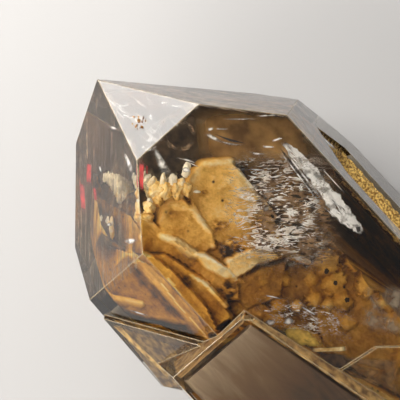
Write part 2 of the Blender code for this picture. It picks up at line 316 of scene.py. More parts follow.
# Each ridge: where it starts and ends (mm along, mm across, mm up), how wide it is and how pale.
CLAY_RIDGES = [
    ((24.0, 4.6, 6.3), (28.5, 4.2, 6.2), 0.22, 0.84),
    ((28.5, 4.2, 6.2), (31.4, 4.2, 6.0), 0.20, 0.72),
    ((20.3, 1.6, 6.1), (22.4, 4.5, 6.2), 0.50, 0.70),
    ((21.6, -5.4, 6.3), (23.6, -3.9, 6.5), 0.60, 0.70),
    ((23.6, -3.9, 6.5), (25.5, -4.2, 6.5), 0.55, 0.74),
    ((25.5, -4.2, 6.5), (27.6, -4.3, 6.4), 0.45, 0.70),
    ((27.6, -4.3, 6.4), (29.2, -5.2, 6.1), 0.40, 0.60),
    ((23.4, -9.4, 6.1), (24.8, -8.7, 6.6), 0.45, 0.82),
    ((24.8, -8.9, 6.6), (28.6, -8.0, 6.6), 0.22, 0.66),
    ((28.5, -7.7, 6.8), (29.4, -7.0, 6.9), 0.30, 0.84),
    ((29.4, -7.0, 6.9), (31.1, -6.5, 6.8), 0.25, 0.90),
    ((31.1, -6.5, 6.8), (32.9, -6.1, 6.6), 0.22, 0.84),
    ((32.9, -6.1, 6.6), (34.7, -6.0, 6.3), 0.28, 0.90),
    ((32.1, -5.2, 6.5), (32.5, -3.8, 6.7), 0.28, 0.84),
    ((32.5, -3.8, 6.7), (33.2, -2.2, 6.8), 0.30, 0.88),
    ((33.2, -2.2, 6.8), (34.3, -0.9, 6.8), 0.26, 0.92),
    ((34.3, -0.9, 6.8), (36.0, 0.6, 6.7), 0.22, 0.84),
    ((36.0, 0.6, 6.7), (40.2, 3.2, 6.3), 0.20, 0.70),
    ((28.4, -10.7, 6.6), (30.4, -10.0, 6.8), 0.30, 0.68),
    ((30.4, -10.0, 6.8), (32.3, -9.5, 6.9), 0.24, 0.90),
    ((32.3, -9.5, 6.9), (34.0, -9.5, 6.9), 0.24, 0.84),
    ((34.0, -9.5, 6.9), (36.3, -9.5, 6.5), 0.30, 0.72),
    ((23.0, -13.1, 6.9), (24.3, -12.5, 7.2), 0.24, 0.90),
    ((24.3, -12.5, 7.2), (27.3, -12.6, 7.2), 0.22, 0.92),
    ((27.3, -12.6, 7.2), (31.0, -13.1, 7.1), 0.20, 0.90),
    ((31.0, -13.1, 7.1), (37.4, -13.3, 7.0), 0.20, 0.86),
    ((24.2, -12.5, 6.7), (35.0, -13.5, 5.3), 0.22, 0.84),
    ((20.2, -15.9, 0.8), (24.2, -12.5, 6.7), 0.25, 0.84),
    ((25.0, -19.6, -4.3), (28.7, -16.6, 1.1), 0.45, 0.62),
    ((13.9, -10.6, -6.1), (17.3, -12.9, -5.1), 0.25, 0.85),
    ((17.3, -12.9, -5.1), (21.3, -13.9, -0.9), 0.30, 0.85),
    ((27.9, -23.1, -9.2), (35.5, -22.9, -8.6), 0.70, 0.62),
    ((35.5, -22.9, -8.6), (42.0, -21.4, -5.6), 0.70, 0.62),
]
# Each lump: its place (mm along, mm across, mm up), its radius and how pale it is.
CLAY_LUMPS = [
    (42.5, 5.0, 5.6, 2.00, 0.46), (45.0, 4.0, 5.4, 2.20, 0.50), (47.6, 3.1, 5.3, 1.70, 0.40),
    (45.0, 8.3, 5.9, 1.50, 0.58), (42.5, 9.1, 5.6, 1.30, 0.52), (48.6, 7.3, 5.8, 1.80, 0.50),
    (52.3, 8.1, 6.0, 1.70, 0.66), (44.7, 0.3, 5.0, 1.30, 0.40), (46.6, 1.2, 5.0, 0.90, 0.50),
    (42.4, 2.0, 4.8, 1.10, 0.44), (55.2, 6.8, 5.6, 2.10, 0.50), (48.6, 10.6, 5.6, 1.60, 0.48),
    (60.0, 4.0, 5.4, 2.60, 0.45), (65.0, -4.0, 5.0, 3.00, 0.50), (71.0, 6.0, 5.2, 3.20, 0.48),
    (76.0, -3.0, 4.0, 3.00, 0.55), (39.5, -1.0, 4.6, 1.30, 0.42), (37.5, -3.6, 5.0, 1.00, 0.46),
    (41.8, -4.0, 4.2, 1.50, 0.40), (43.6, -2.2, 4.4, 0.90, 0.52), (40.6, -6.6, 4.0, 1.60, 0.36),
    (43.0, -5.6, 3.8, 1.50, 0.42), (46.0, -7.4, 3.6, 1.90, 0.38), (41.0, -8.6, 4.2, 1.20, 0.46),
    (49.5, -4.5, 4.4, 1.60, 0.50), (53.5, -2.4, 4.8, 1.90, 0.42), (50.5, 1.5, 5.0, 1.30, 0.46),
]
# Each stain: its place (mm along, mm across), its radius and how dark it makes the clay.
CLAY_STAINS = [
    (27.4, -2.9, 1.0, 0.26), (28.2, -2.0, 0.6, 0.26), (31.2, -3.2, 1.3, 0.36), (31.0, -4.5, 0.9, 0.30),
    (35.4, -8.2, 1.4, 0.36), (29.1, -8.8, 0.9, 0.16), (24.3, -6.9, 0.9, 0.14), (22.0, -6.4, 0.9, 0.14),
    (33.2, 1.4, 2.3, 0.20), (34.5, -7.0, 0.9, 0.24), (22.9, -1.1, 0.5, 0.50), (30.0, -11.4, 1.2, 0.16),
]
# The clay's top is a grid of small cells, in mm, with a slow wave and a fine grit in it.
CELL = 0.25
START = (12.0, -26.0)
CELLS = (296, 208)
FAR = 40.0
FLOOR_UP = -3.5
FLOOR_WAVE = 1.6
FLOOR_DROP = 9.0
TOP_WAVE = 0.30
RIM_WAVE = 0.12
RIDGE_GRIT = 0.12
LUMP_GRIT = 0.45
ALL_OVER_GRIT = 0.10

alongs, acrosses = numpy.meshgrid(
    START[0] + CELL * numpy.arange(CELLS[0] + 1), START[1] + CELL * numpy.arange(CELLS[1] + 1), indexing="ij"
)


def clay_swell(fineness, seed, softness, octaves):
    return numpy.array([
        noise.fractal(Vector((a * fineness, c * fineness, seed)), softness, 2.0, octaves)
        for a, c in zip(alongs.ravel(), acrosses.ravel())
    ]).reshape(alongs.shape)


def rise(places, start, width, top=1.0):
    """From 0 at the start up to 1 over the width, or falling where the width is negative."""
    return numpy.clip((places - start) / width, 0.0, top)


def lay_on(clay, shape, tone, dull):
    """The clay's height, paleness and dullness, taken from the shape where that is the higher of the two."""
    on_top = shape > clay[0]
    return [numpy.where(on_top, new, before) for new, before in zip((shape, tone, dull), clay)]


wave = clay_swell(0.35, 1.7, 1.0, 4)
grit = clay_swell(1.3, 7.1, 0.8, 3)

# The floor between the plates lies low, and drops away towards the point and under the left face. Towards
# the point its tone is also painted darker, as shade deep in the crystal.
near_tip = rise(alongs, 21.0, -4.0)
left_side = rise(acrosses, -9.0, -3.0)
clay = [
    FLOOR_UP + FLOOR_WAVE * wave - FLOOR_DROP * numpy.maximum(near_tip, left_side),
    0.30 + 0.10 * wave - 0.24 * near_tip,
    0.0 * alongs,
]
for outline, top, tilt_along, tilt_across, tone, dull, steep in CLAY_PLATES:
    middle = (sum(p[0] for p in outline) / len(outline), sum(p[1] for p in outline) / len(outline))
    outside = numpy.full(alongs.shape, -FAR)
    for (a0, c0), (a1, c1) in zip(outline, outline[1:] + outline[:1]):
        edge = Vector((a1 - a0, c1 - c0)).normalized()
        side = Vector((edge.y, -edge.x))
        if side.dot(Vector((a0 - middle[0], c0 - middle[1]))) < 0:
            side.negate()
        outside = numpy.maximum(outside, (alongs - a0) * side.x + (acrosses - c0) * side.y)
    outside = outside + RIM_WAVE * wave
    fall = steep + abs(tilt_along) + abs(tilt_across)
    tilted = top + tilt_along * (alongs - middle[0]) + tilt_across * (acrosses - middle[1])
    shape = tilted + TOP_WAVE * wave - fall * numpy.clip(outside, 0.0, FAR)
    # The rim is painted darker as it falls away, as shade on its flank.
    clay = lay_on(clay, shape, numpy.maximum(tone - 0.15 * steep * numpy.clip(outside, 0.0, 0.9), 0.03), dull)
for (a0, c0, u0), (a1, c1, u1), wide, tone in CLAY_RIDGES:
    span = (a1 - a0) ** 2 + (c1 - c0) ** 2
    share = numpy.clip(((alongs - a0) * (a1 - a0) + (acrosses - c0) * (c1 - c0)) / span, 0.0, 1.0)
    away = numpy.hypot(alongs - a0 - share * (a1 - a0), acrosses - c0 - share * (c1 - c0)) + RIDGE_GRIT * grit
    shape = u0 + share * (u1 - u0) - 0.4 * (away / wide) ** 2 - 1.2 * numpy.clip(away - wide, 0.0, FAR)
    # The ridge is painted darker towards its flanks, as shade.
    clay = lay_on(clay, shape, tone - 0.35 * numpy.clip(away / wide - 0.8, 0.0, 1.5), 0.0)
for a0, c0, u0, wide, tone in CLAY_LUMPS:
    away = numpy.hypot(alongs - a0, acrosses - c0) * (1.0 + LUMP_GRIT * grit)
    shape = u0 - wide + wide * numpy.sqrt(numpy.clip(1.0 - (away / wide) ** 2, 0.0, 1.0))
    shape = shape - 5.0 * numpy.clip(away - 0.95 * wide, 0.0, FAR)
    # The lump is painted darker towards its rim, as shade.
    clay = lay_on(clay, shape, tone - 0.45 * numpy.clip(away / wide - 0.75, 0.0, 1.2), 0.0)
height, tone_with_painted_shade, grey = clay
for a0, c0, wide, dark in CLAY_STAINS:
    near = numpy.exp(-((alongs - a0) ** 2 + (acrosses - c0) ** 2) / wide ** 2)
    tone_with_painted_shade = tone_with_painted_shade - dark * near * numpy.clip(1.0 + 2.5 * grit, 0.0, 2.2)
height = height + ALL_OVER_GRIT * grit

# What stands above the clay round it is painted paler, as a highlight, and what lies below it darker, as
# shade. A deeper amber stains the left side, the foot and the right.
AROUND = (-3, 0, 3)
around = sum(numpy.roll(numpy.roll(height, i, 0), j, 1) for i in AROUND for j in AROUND) / len(AROUND) ** 2
tone_with_painted_shade = numpy.clip(tone_with_painted_shade + 0.24 * numpy.clip(height - around, -0.8, 0.5) + 0.05 * grit, 0.0, 1.0)
amber = numpy.maximum(rise(acrosses, -7.5, -3.5), 0.7 * rise(alongs, 33.0, 4.0))
amber = numpy.maximum(amber, rise(acrosses, 5.0, 3.0, 0.8))
amber = numpy.clip(amber + 0.35 * wave, 0.0, 1.0)

# The grid's rim is drawn down to a flat bottom below the crystal, which makes it a solid block of clay.
SKIRT = 0.08
BOTTOM = -0.06
bpy.ops.object.select_all(action="DESELECT")
bpy.ops.mesh.primitive_grid_add(x_subdivisions=CELLS[0], y_subdivisions=CELLS[1], size=1.0)
clay_heart = bpy.context.object
clay_heart.name = "clay_heart"
for vertex in clay_heart.data.vertices:
    i = round((vertex.co.x + 0.5) * CELLS[0])
    j = round((vertex.co.y + 0.5) * CELLS[1])
    vertex.co = inside(alongs[i, j], acrosses[i, j], height[i, j])
bpy.ops.object.mode_set(mode="EDIT")
bpy.ops.mesh.select_all(action="SELECT")
bpy.ops.mesh.region_to_loop()
bpy.ops.mesh.extrude_edges_move(TRANSFORM_OT_translate={"value": (0.0, 0.0, -SKIRT)})
bpy.ops.transform.resize(value=(1.0, 1.0, 0.0), center_override=(0.0, 0.0, BOTTOM))
bpy.ops.mesh.edge_face_add()
bpy.ops.mesh.select_all(action="SELECT")
bpy.ops.mesh.normals_make_consistent(inside=False)
bpy.ops.object.mode_set(mode="OBJECT")

# The hollow that the clay fills: the crystal's own faces, further in, and a cut across it beside the point.
CLAY_REACH = [
    (0, 52.4, -2.2),
    (-60.5, 54.4, -1.8),
    (60, 52.6, -2.5),
    (-121.4, 47.0, 0.0),
    (122, 39.8, -8.0),
    (180, 51.8, 3.0),
    (-126.1, 69.4, 14.6),
    (0, 89.6, 9.6),
    (-60, 89.2, 14.6),
    (60, 90.0, 9.0),
    (-119.9, 86.2, 17.6),
    (119.6, 84.1, 24.0),
    (180, 90.0, 23.0),
    (-119.9, 100.0, 33.6),
]
hollow = cut_stone(
    "hollow",
    CLAY_REACH,
    [(inside(84.0, 0.0, 0.0), AWAY_FROM_TIP), (inside(17.3, -12.9, -5.0), Vector((-0.62, -0.785, 0.0)))],
)
join_stone(clay_heart, hollow, "INTERSECT")

# Paint: paleness, dullness and amber stain in one attribute. The clay's walls are painted near black as
# shade, but for the left one, which keeps a mid tone.
TOP_SKIN = 0.6
LEFT_WALL_TONE = 0.30
SHADED_WALL_TONE = 0.04
shade = clay_heart.data.color_attributes.new("clay_shade", "FLOAT_COLOR", "POINT")
for vertex in clay_heart.data.vertices:
    place = (vertex.co - TIP) / MM
    i = min(max(round((place.x - START[0]) / CELL), 0), CELLS[0])
    j = min(max(round((place.y - START[1]) / CELL), 0), CELLS[1])
    tone = tone_with_painted_shade[i, j]
    # Below the top skin the walls are painted as shade.
    if place.z < height[i, j] - TOP_SKIN:
        tone = LEFT_WALL_TONE if place.y < -10.0 else SHADED_WALL_TONE
    shade.data[vertex.index].color = (tone, grey[i, j], amber[i, j], 1.0)


# Clay grain: blotches, fine mottling and dark specks, for the clay heart and the clay grains.
def new_group(name, inputs, outputs):
    group = bpy.data.node_groups.new(name, "ShaderNodeTree")
    for way, sockets in (("INPUT", inputs), ("OUTPUT", outputs)):
        for socket in sockets:
            group.interface.new_socket(socket, in_out=way, socket_type="NodeSocketFloat")
    return group


def calculate(tree, operation, *values):
    return add_node(tree, "Math", dict(enumerate(values)), operation=operation).outputs["Value"]


def make_clay_grain():
    group = new_group("clay_grain", ("Pale", "Blotch Size", "Blotch Amount"), ("Tone", "Specks", "Height"))
    given = group.nodes.new("NodeGroupInput").outputs
    place = add_node(group, "TexCoord").outputs["Object"]
    blotch = add_node(group, "TexNoise", {
        "Vector": place, "Scale": given["Blotch Size"], "Detail": 5.0, "Roughness": 0.62,
    })
    fine = add_node(group, "TexNoise", {"Vector": place, "Scale": 2600.0, "Detail": 3.0})
    blotched = calculate(
        group, "MULTIPLY_ADD",
        calculate(group, "SUBTRACT", blotch.outputs["Fac"], 0.5), given["Blotch Amount"], given["Pale"],
    )
    tone = calculate(
        group, "MULTIPLY_ADD", calculate(group, "SUBTRACT", fine.outputs["Fac"], 0.5), 0.25, blotched
    )
    spots = add_node(group, "TexVoronoi", {"Vector": place, "Scale": 900.0})
    small = add_node(group, "MapRange", {
        "Value": spots.outputs["Distance"], "From Min": 0.10, "From Max": 0.26, "To Min": 1.0, "To Max": 0.0,
    })
    rare = add_node(group, "TexNoise", {"Vector": place, "Scale": 420.0})
    seldom = add_node(group, "MapRange", {"Value": rare.outputs["Fac"], "From Min": 0.56, "From Max": 0.66})
    specks = calculate(group, "MULTIPLY", small.outputs["Result"], seldom.outputs["Result"])
    out = group.nodes.new("NodeGroupOutput")
    set_inputs(group, out, {"Tone": tone, "Specks": specks, "Height": fine.outputs["Fac"]})
    return group


def colour_ramp(tree, amount, colours):
    ramp = add_node(tree, "ValToRGB", {"Fac": amount})
    stops = ramp.color_ramp.elements
    while len(stops) < len(colours):
        stops.new(0.5)
    for stop, (place, colour) in zip(stops, colours):
        stop.position = place
        stop.color = (*colour, 1.0)
    return ramp.outputs["Color"]


def mix_colours(tree, amount, first, second, blend="MIX"):
    return add_node(
        tree, "Mix", {"Factor": amount, "A": first, "B": second}, data_type="RGBA", blend_type=blend
    ).outputs["Result"]


AMBER_STAIN = (0.80, 0.66, 0.26, 1.0)
DULL_CLAY = (0.16, 0.12, 0.095, 1.0)
DARK_SPECK = (0.05, 0.02, 0.01, 1.0)
ochre = bpy.data.materials.new("ochre_clay_heart")
ochre.use_nodes = True
tree = ochre.node_tree
painted = add_node(tree, "Attribute", attribute_name="clay_shade")
parts = add_node(tree, "SeparateColor", {"Color": painted.outputs["Color"]}).outputs
grain = add_node(
    tree, "Group", {"Pale": parts["Red"], "Blotch Size": 260.0, "Blotch Amount": 0.75},
    node_tree=make_clay_grain(),
).outputs
colour = colour_ramp(tree, grain["Tone"], (
    (0.00, (0.035, 0.018, 0.009)),
    (0.16, (0.19, 0.078, 0.012)),
    (0.38, (0.55, 0.275, 0.037)),
    (0.60, (0.90, 0.55, 0.14)),
    (0.80, (0.98, 0.76, 0.38)),
    (1.00, (1.00, 0.93, 0.76)),
))
colour = mix_colours(tree, parts["Blue"], colour, AMBER_STAIN, "MULTIPLY")
colour = mix_colours(tree, parts["Green"], colour, DULL_CLAY)
colour = mix_colours(tree, grain["Specks"], colour, DARK_SPECK)
rough = add_node(tree, "Bump", {"Strength": 0.6, "Distance": 0.2 * MM, "Height": grain["Height"]})
set_inputs(tree, tree.nodes["Principled BSDF"], {
    "Base Color": colour, "Roughness": 0.62, "Specular IOR Level": 0.25, "Normal": rough.outputs["Normal"],
})
clay_heart.data.materials.clear()
clay_heart.data.materials.append(ochre)
select_only(clay_heart)
bpy.ops.object.shade_smooth_by_angle(angle=radians(35))
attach(clay_heart, "root")
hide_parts("clay_filling")


# Clay grains: crumbs of the same clay that the growing quartz caught near its point, clear of the plates.
# They are irregular, and the quartz holds them where they are. Four dark specks lie over the round lumps, and
# ten rust flecks lie in the front tip face.
GRAIN_SWELL = 0.38
GRAIN_FLECKS = 0.22


def clay_crumb(along, across, up, radius, stretch, turn, tone, seed):
    bpy.ops.object.select_all(action="DESELECT")
    bpy.ops.mesh.primitive_ico_sphere_add(subdivisions=4, radius=radius * MM, location=(0.0, 0.0, 0.0))
    crumb = bpy.context.object
    bpy.ops.object.mode_set(mode="EDIT")
    bpy.ops.mesh.select_all(action="SELECT")
    bpy.ops.transform.resize(value=stretch, center_override=(0.0, 0.0, 0.0))
    bpy.ops.transform.rotate(value=radians(turn), orient_axis="Z", center_override=(0.0, 0.0, 0.0))
    bpy.ops.object.mode_set(mode="OBJECT")
    for vertex in crumb.data.vertices:
        outward = vertex.co.normalized()
        swell = noise.fractal(outward * 1.6 + Vector((seed, 0.0, 0.0)), 0.9, 2.0, 5)
        vertex.co = vertex.co * (1.0 + GRAIN_SWELL * swell) + inside(along, across, up)
    tint = crumb.data.color_attributes.new("clay_shade", "FLOAT_COLOR", "POINT")
    for vertex in crumb.data.vertices:
        fleck = noise.fractal((vertex.co - TIP) / MM * 1.1 + Vector((0.0, seed, 0.0)), 0.9, 2.0, 3)
        tint.data[vertex.index].color = (max(tone + GRAIN_FLECKS * fleck, 0.0), 0.0, 0.0, 1.0)
    return crumb


def join_pieces(name, pieces):
    select_only(*pieces)
    bpy.ops.object.join()
    pieces[0].name = name
    return pieces[0]


# Each grain: its place (mm along, mm across, mm up), its radius, its stretch, its turn and how pale it is.
# Many are paler than the clay's own tone, up to cream: partly their own colour and partly painted light, as
# the crumbs near the point are lit through the tip faces.
SEED_STEP = 3.7
clay_grains = join_pieces("clay_grains", [
    clay_crumb(*row, SEED_STEP * number)
    for number, row in enumerate((
        (14.2, -4.9, -8.0, 0.63, (1.1, 0.9, 1.6), 20, 1.25),
        (14.9, -4.6, -7.0, 0.86, (1.2, 0.8, 1.6), 30, 1.25),
        (15.7, -4.5, -5.8, 0.92, (1.3, 0.8, 1.4), 30, 1.20),
        (16.6, -4.3, -4.4, 1.15, (1.2, 1.0, 1.5), 20, 1.10),
        (17.3, -4.9, -3.4, 1.26, (1.0, 1.1, 1.5), 10, 0.96),
        (17.6, -3.6, -3.6, 1.09, (1.2, 0.9, 1.2), 40, 1.12),
        (18.6, -4.3, -2.8, 1.38, (1.1, 1.2, 1.1), 60, 0.90),
        (18.3, -5.6, -2.8, 1.09, (1.0, 1.2, 1.3), 10, 0.98),
        (19.0, -2.8, -3.0, 1.26, (1.3, 0.8, 1.2), 45, 1.04),
        (20.0, -2.0, -2.9, 1.15, (1.2, 0.9, 1.2), 50, 1.14),
        (20.2, -3.6, -2.9, 1.26, (1.2, 1.0, 1.2), 40, 0.94),
        (19.9, -4.9, -3.4, 1.26, (1.1, 1.1, 1.2), 30, 0.88),
        (18.1, 0.3, -2.6, 0.86, (1.5, 0.8, 0.9), 25, 1.25),
        (19.0, 0.9, -2.6, 0.75, (1.4, 0.8, 0.9), 30, 1.20),
        (19.4, -8.1, 7.7, 0.85, (1.1, 0.9, 1.0), 30, 0.70),
        (20.1, -9.1, 7.4, 0.75, (1.2, 0.8, 1.0), -30, 0.62),
        (18.8, -7.5, 7.6, 0.40, (1.0, 0.8, 1.2), 0, 0.95),
        (17.2, -12.3, -1.6, 0.55, (1.1, 0.7, 0.9), 60, 0.98),
        (18.2, -12.0, -0.6, 0.80, (1.5, 0.8, 0.8), 50, 0.86),
        (19.2, -12.4, -1.2, 0.85, (1.4, 0.9, 0.8), 40, 0.66),
        (16.2, -12.7, -3.6, 0.45, (1.0, 0.8, 0.8), 60, 0.96),
        (15.6, -5.7, 7.0, 0.33, (1.6, 0.8, 1.0), 75, 1.22),
        (16.3, -5.7, 7.0, 0.48, (1.5, 0.8, 1.0), 80, 1.12),
        (17.1, -5.6, 7.0, 0.57, (1.5, 0.9, 1.0), 85, 0.98),
        (18.3, -5.8, 7.0, 1.05, (0.9, 1.1, 0.8), 20, 0.72),
        (19.2, -4.9, 7.0, 1.12, (1.1, 0.9, 0.8), 50, 0.64),
        (20.2, -3.8, 7.0, 1.12, (1.1, 0.9, 0.8), 40, 0.66),
        (21.0, -2.7, 7.0, 0.97, (1.1, 0.9, 0.8), 30, 0.62),
        (18.1, -4.4, 7.0, 0.60, (1.8, 0.7, 1.0), 48, 0.98),
        (18.9, -3.3, 7.0, 0.66, (1.6, 0.8, 1.0), 40, 1.10),
        (20.0, -2.8, 7.0, 0.63, (1.5, 0.7, 1.0), 60, 0.90),
        (19.5, -6.7, 7.0, 0.75, (1.0, 1.1, 0.9), 0, 0.56),
        (19.1, -1.0, 7.0, 0.66, (1.7, 0.8, 1.0), 52, 1.20),
        (22.2, -1.9, 7.0, 0.27, (0.7, 1.7, 1.0), 45, 1.25),
        (42.4, 3.7, 8.0, 0.35, (1.0, 0.8, 0.8), 60, -0.3),
        (44.4, 3.5, 8.0, 0.30, (1.0, 0.9, 0.8), 10, -0.3),
        (45.7, 4.0, 8.0, 0.18, (1.0, 0.9, 0.8), 10, -0.3),
        (47.2, 3.1, 8.0, 0.32, (1.0, 1.0, 0.8), 10, -0.3),
        (9.8, -0.3, 7.54, 0.15, (1.4, 0.7, 1.0), 50, 0.26),
        (10.7, -1.4, 8.23, 0.20, (1.1, 0.8, 1.0), 20, 0.30),
        (10.0, -1.8, 7.69, 0.17, (1.5, 0.7, 1.0), 70, 0.24),
        (9.7, -1.0, 7.46, 0.22, (1.2, 0.9, 1.0), 20, 0.28),
        (8.7, -1.0, 6.69, 0.14, (1.2, 0.8, 1.0), 0, 0.34),
        (10.1, -0.8, 7.77, 0.12, (1.6, 0.8, 1.0), 60, 0.26),
        (9.4, -1.9, 7.23, 0.12, (1.2, 0.8, 1.0), 40, 0.32),
        (10.4, -0.4, 8.0, 0.12, (1.3, 0.9, 1.0), 0, 0.30),
        (9.2, -0.6, 7.08, 0.11, (1.6, 0.7, 1.0), 30, 0.28),
        (10.5, -2.0, 8.08, 0.11, (1.3, 0.7, 1.0), 10, 0.28),
    ))
])
bpy.ops.object.shade_smooth()
clay_grains.data.materials.append(ochre)
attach(clay_grains, "root")


# Silver veil: a flat, crumpled gap that runs down the crystal just under the broad front face. It holds only
# air, so it mirrors the light; that mirror is painted, as a grey and white mottle of painted reflection. It
# healed in streaks, which leave holes and ragged ends.
def make_streak_mask():
    """Streaks and their edge fade; Bunch makes them patchy, and Thin turns patches into their outlines."""
    group = new_group(
        "streak_mask", ("Across", "Down", "Bend", "Cover", "Soft", "Fade", "Seed", "Bunch", "Thin"), ("Mask",)
    )
    given = group.nodes.new("NodeGroupInput").outputs
    place = add_node(group, "TexCoord").outputs["UV"]
    split = add_node(group, "SeparateXYZ", {"Vector": place}).outputs
    stretched = add_node(group, "CombineXYZ", {
        "X": calculate(group, "MULTIPLY", split["X"], given["Across"]),
        "Y": calculate(group, "MULTIPLY", split["Y"], given["Down"]),
        "Z": given["Seed"],
    })
    streaks = add_node(group, "TexNoise", {
        "Vector": stretched.outputs["Vector"], "Scale": 1.0, "Detail": 3.0, "Roughness": 0.55,
        "Distortion": given["Bend"],
    }).outputs["Fac"]
    off_level = calculate(group, "ABSOLUTE", calculate(group, "SUBTRACT", streaks, 0.5))
    outline = calculate(group, "MULTIPLY_ADD", off_level, -4.0, 1.0)
    streak = add_node(group, "Mix", {"Factor": given["Thin"], "A": streaks, "B": outline})
    patches = add_node(group, "TexNoise", {"Vector": place, "Scale": 6.0, "Detail": 2.0})
    bunched = add_node(group, "MapRange", {
        "Value": patches.outputs["Fac"], "From Min": 0.30, "From Max": 0.70,
        "To Min": calculate(group, "ADD", 1.0, given["Bunch"]),
        "To Max": calculate(group, "SUBTRACT", 1.0, given["Bunch"]),
    })
    start = calculate(group, "SUBTRACT", bunched.outputs["Result"], given["Cover"])
    cut = add_node(group, "MapRange", {
        "Value": streak.outputs["Result"], "From Min": start,
        "From Max": calculate(group, "ADD", start, given["Soft"]),
    })
    mask = cut.outputs["Result"]
    for axis in ("X", "Y"):
        fade = add_node(group, "MapRange", {
            "Value": calculate(group, "PINGPONG", split[axis], 0.5), "From Max": given["Fade"],
        }, interpolation_type="SMOOTHSTEP")
        mask = calculate(group, "MULTIPLY", mask, fade.outputs["Result"])
    set_inputs(group, group.nodes.new("NodeGroupOutput"), {"Mask": mask})
    return group


streak_mask = make_streak_mask()


def veil_material(
    name, dark, light, roughness, streak, bump, contrast=(0.35, 0.65), bunch=0.0, thin=0.0, mottle=900.0
):
    """A streaky film in two colours: streak is the mask's Across, Down, Bend, Cover, Soft, Fade and Seed."""
    film = bpy.data.materials.new(name)
    film.use_nodes = True
    tree = film.node_tree
    mask = add_node(tree, "Group", {"Bunch": bunch, "Thin": thin}, node_tree=streak_mask)
    set_inputs(tree, mask, dict(zip(("Across", "Down", "Bend", "Cover", "Soft", "Fade", "Seed"), streak)))
    place = add_node(tree, "TexCoord").outputs["Object"]
    spots = add_node(tree, "TexNoise", {"Vector": place, "Scale": mottle, "Detail": 4.0}).outputs["Fac"]
    blend = add_node(tree, "MapRange", {"Value": spots, "From Min": contrast[0], "From Max": contrast[1]})
    crumple = add_node(tree, "Bump", {"Strength": 1.0, "Distance": bump * MM, "Height": spots})
    set_inputs(tree, tree.nodes["Principled BSDF"], {
        "Base Color": mix_colours(tree, blend.outputs["Result"], (*dark, 1.0), (*light, 1.0)),
        "Roughness": roughness, "Alpha": mask.outputs["Mask"], "Normal": crumple.outputs["Normal"],
    })
    return film


# The veil's middle line: mm along, mm across, half width in mm.
VEIL_LINE = (
    (25.0, 11.5, 0.35), (27.0, 11.6, 0.70), (30.0, 11.7, 0.95), (33.0, 11.4, 1.05),
    (36.0, 11.1, 1.25), (39.0, 11.0, 1.30), (41.0, 11.0, 0.90), (42.2, 11.0, 0.25),
)
VEIL_UP = 8.9
bpy.ops.object.select_all(action="DESELECT")
bpy.ops.mesh.primitive_grid_add(x_subdivisions=150, y_subdivisions=16, size=1.0)
silver_veil = bpy.context.object
silver_veil.name = "silver_veil"
for vertex in silver_veil.data.vertices:
    down = (vertex.co.x + 0.5) * (len(VEIL_LINE) - 1)
    step = min(int(down), len(VEIL_LINE) - 2)
    share = down - step
    along, middle, half = (a + share * (b - a) for a, b in zip(VEIL_LINE[step], VEIL_LINE[step + 1]))
    side = vertex.co.y * 2.0
    ragged = 1.0 + 0.38 * noise.fractal(Vector((along * 0.9, side * 0.8, 2.0)), 0.9, 2.0, 4)
    fold = 0.14 * noise.fractal(Vector((along * 0.9, side * 1.8, 5.0)), 0.8, 2.0, 5)
    vertex.co = inside(along, middle + side * half * ragged, VEIL_UP + fold - 0.30 * abs(side + 0.3))
bpy.ops.object.shade_smooth()
# Its grey and white mottle is a painted reflection.
silver_veil.data.materials.append(veil_material(
    "silver_painted_reflection", (0.34, 0.33, 0.32), (1.0, 1.0, 1.0), 0.30,
    (7.0, 3.0, 1.2, 0.70, 0.12, 0.10, 3.1), 0.15, (0.38, 0.52), 0.06,
))
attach(silver_veil, "root")

# Etch flakes: hundreds of small curved steps under the broad front face, that the growing quartz closed over.
# They are thin gaps in the quartz: the bright ones and the sparkles are painted white, as the lamp's
# reflection in them, and the brown ones hold a film of clay.
UNDER_FACE = 0.3


def sheet_in_stone(name, corners, cuts, limits=OUTER_FACES):
    """A flat sheet with its corners in the crystal and its own map from 0 to 1, cut off under the faces."""
    bpy.ops.object.select_all(action="DESELECT")
    bpy.ops.mesh.primitive_plane_add(size=1.0)
    sheet = bpy.context.object
    sheet.name = name
    low = sorted(sheet.data.vertices, key=lambda v: (v.co.y > 0, v.co.x > 0))
    for vertex, corner in zip((low[0], low[1], low[3], low[2]), corners):
        vertex.co = inside(*corner)
    bpy.ops.object.mode_set(mode="EDIT")
    bpy.ops.mesh.select_all(action="SELECT")
    bpy.ops.mesh.subdivide(number_cuts=cuts)
    for turn, slope, away in limits:
        bpy.ops.mesh.select_all(action="SELECT")
        outward = facing(turn, slope)
        bpy.ops.mesh.bisect(
            plane_co=TIP + outward * (away - UNDER_FACE) * MM, plane_no=outward, clear_outer=True,
            threshold=SAME_POINT,
        )
    bpy.ops.object.mode_set(mode="OBJECT")
    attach(sheet, "root")
    return sheet
